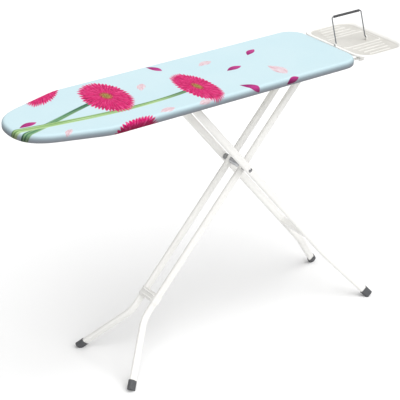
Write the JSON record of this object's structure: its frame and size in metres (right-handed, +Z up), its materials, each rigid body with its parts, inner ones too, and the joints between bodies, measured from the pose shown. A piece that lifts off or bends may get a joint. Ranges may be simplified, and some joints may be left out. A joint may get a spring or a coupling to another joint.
{
  "type": "folding ironing board",
  "caption": "Padded ironing board with a patterned fabric cover on a folding scissor stand, with an iron rest tray and a wire hoop at the tail.",
  "frame": {"origin": "on the floor, under the middle of the whole object", "axes": "+X along the board towards the iron rest, +Y across the board, +Z up"},
  "size_m": [1.336, 0.33, 0.9588],
  "materials": {
    "cover_fabric": "printed cotton, pale blue with pink daisies on green stems",
    "foam": "open-cell foam",
    "enamelled_steel": "cream-white enamel",
    "tray_enamel": "warm grey-white enamel",
    "zinc_steel": "zinc plated",
    "chromed_rivet": "polished dome",
    "grey_plastic": "moulded, fine grain",
    "dark_plastic": "moulded",
    "dark_rubber": "moulded rubber",
    "grey_wire": "grey enamelled wire"
  },
  "bodies": {
    "board": {"cover": "cover_fabric", "foam_pad": "foam", "mesh_top": "enamelled_steel", "rim_frame": "enamelled_steel", "cross_bar_nose": "enamelled_steel", "cross_bar_mid": "enamelled_steel", "cross_bar_hinge": "enamelled_steel", "cross_bar_tail": "enamelled_steel", "hinge_ear_left": "enamelled_steel", "hinge_ear_right": "enamelled_steel", "hinge_pin": "zinc_steel", "guide_rail_left": "enamelled_steel", "guide_rail_right": "enamelled_steel", "height_rack_left": "zinc_steel", "height_rack_right": "zinc_steel", "fitting_rivets": "zinc_steel", "lever_bracket": "enamelled_steel", "lever_pin": "zinc_steel", "lever_spring": "zinc_steel", "iron_tray": "tray_enamel", "rest_arm_left": "grey_wire", "rest_arm_right": "grey_wire", "rest_clips": "enamelled_steel", "rest_arm_caps": "dark_plastic", "hoop_clips": "zinc_steel"},
    "lever": {"height_lever": "zinc_steel", "lever_grip": "grey_plastic"},
    "inner_leg": {"inner_tube_left": "enamelled_steel", "inner_tube_right": "enamelled_steel", "inner_head_tube": "enamelled_steel", "inner_saddle": "enamelled_steel", "inner_spacer": "zinc_steel", "inner_foot_left": "dark_rubber", "inner_foot_right": "dark_rubber"},
    "outer_leg": {"outer_tube_left": "enamelled_steel", "outer_tube_right": "enamelled_steel", "outer_cross_plate": "enamelled_steel", "slide_bar": "zinc_steel", "slide_bush_left": "dark_plastic", "slide_bush_right": "dark_plastic", "outer_foot_left": "dark_rubber", "outer_foot_right": "dark_rubber", "pivot_rod": "zinc_steel", "pivot_washer_left": "dark_plastic", "pivot_washer_right": "dark_plastic", "pivot_head_left": "chromed_rivet", "pivot_head_right": "chromed_rivet"},
    "hoop": {"hoop_wire": "grey_wire", "hoop_sleeve": "dark_plastic"}
  },
  "joints": [
    {"name": "leg_fold", "type": "hinge", "parent": "board", "child": "inner_leg", "pos_m": [0.34941, 0, 0.834], "axis": [0, 1, 0], "range_deg": [0, 45.5]},
    {"name": "leg_cross", "type": "hinge", "parent": "inner_leg", "child": "outer_leg", "pos_m": [0.1045, 0, 0.562], "axis": [0, 1, 0], "range_deg": [-94.5, 0]},
    {"name": "lever_pull", "type": "hinge", "parent": "board", "child": "lever", "pos_m": [-0.11755, 0.116, 0.847], "axis": [-1, 0, 0], "range_deg": [0, 12], "stiffness_Nm_per_rad": 0.6, "springref_deg": -20.05},
    {"name": "hoop_fold", "type": "hinge", "parent": "board", "child": "hoop", "pos_m": [0.4725, -0.022, 0.873], "axis": [1, 0, 0], "range_deg": [0, 100]}
  ],
  "couplings": [
    {"joint": "leg_cross", "follows": "leg_fold", "ratio": -2.0658}
  ]
}
